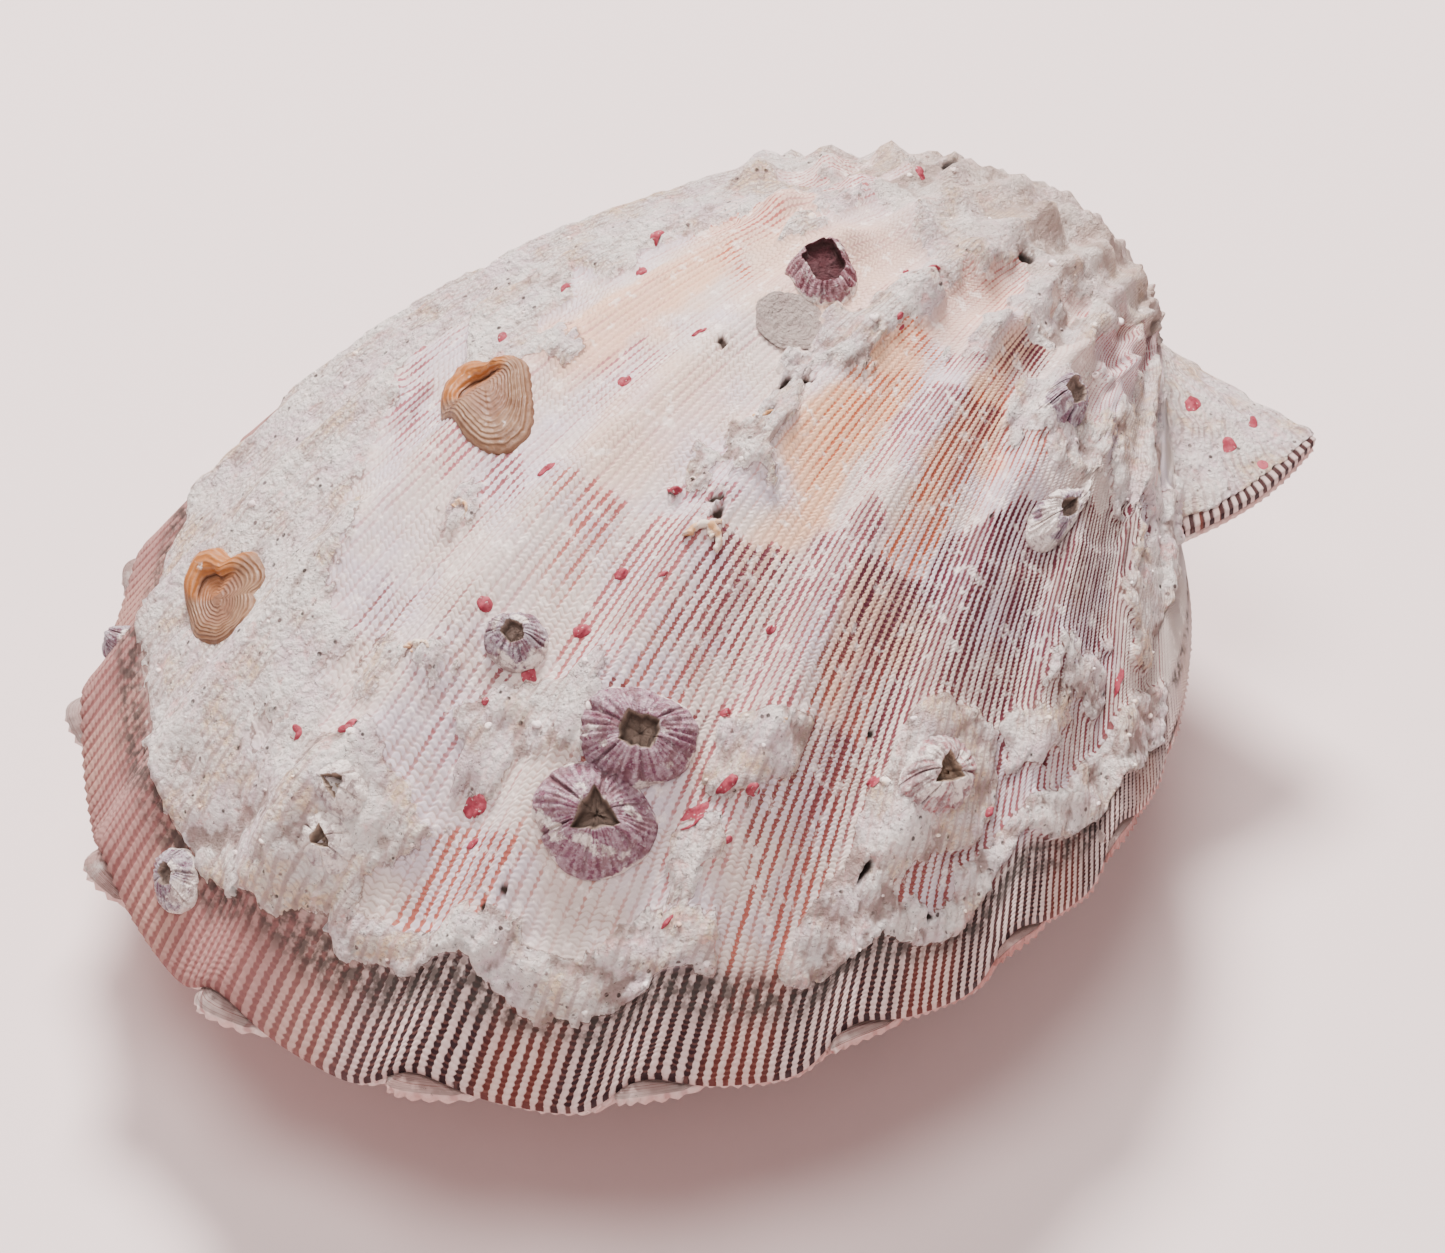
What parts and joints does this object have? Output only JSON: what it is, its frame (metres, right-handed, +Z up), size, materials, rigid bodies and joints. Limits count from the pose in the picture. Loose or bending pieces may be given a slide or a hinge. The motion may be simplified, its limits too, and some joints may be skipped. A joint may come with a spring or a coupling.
{
  "type": "lion paw scallop shell",
  "caption": "Closed ribbed scallop shell with barnacles and lime crust, lying on its lower valve.",
  "frame": {"origin": "centre of the bounding box at its lowest level, under the shell's belly", "axes": "+Z up from the surface the shell rests on, +Y towards the hinge, +X along the hinge line to the ear that shows"},
  "size_m": [0.119, 0.144, 0.0741],
  "materials": {
    "crusted_valve": "chalky lime crust over fine maroon and white ribs",
    "clean_valve": "matt, fine pink-brown and white ribs",
    "barnacle_wall": "rough, purple and white ridges",
    "cup_wall": "slightly glossy, orange-brown"
  },
  "bodies": {
    "root": {"upper_valve": "crusted_valve", "lower_valve": "clean_valve", "barnacle_striped": "barnacle_wall", "barnacle_mottled": "barnacle_wall", "barnacle_small": "barnacle_wall", "barnacle_chipped": "barnacle_wall", "barnacle_beak": "barnacle_wall", "barnacle_flank": "barnacle_wall", "barnacle_broken": "barnacle_wall", "barnacle_edge": "barnacle_wall", "barnacle_dark": "barnacle_wall", "barnacle_overgrown_1": "barnacle_wall", "barnacle_overgrown_2": "barnacle_wall", "cup_shell_1": "cup_wall", "cup_shell_2": "cup_wall"}
  },
  "joints": []
}
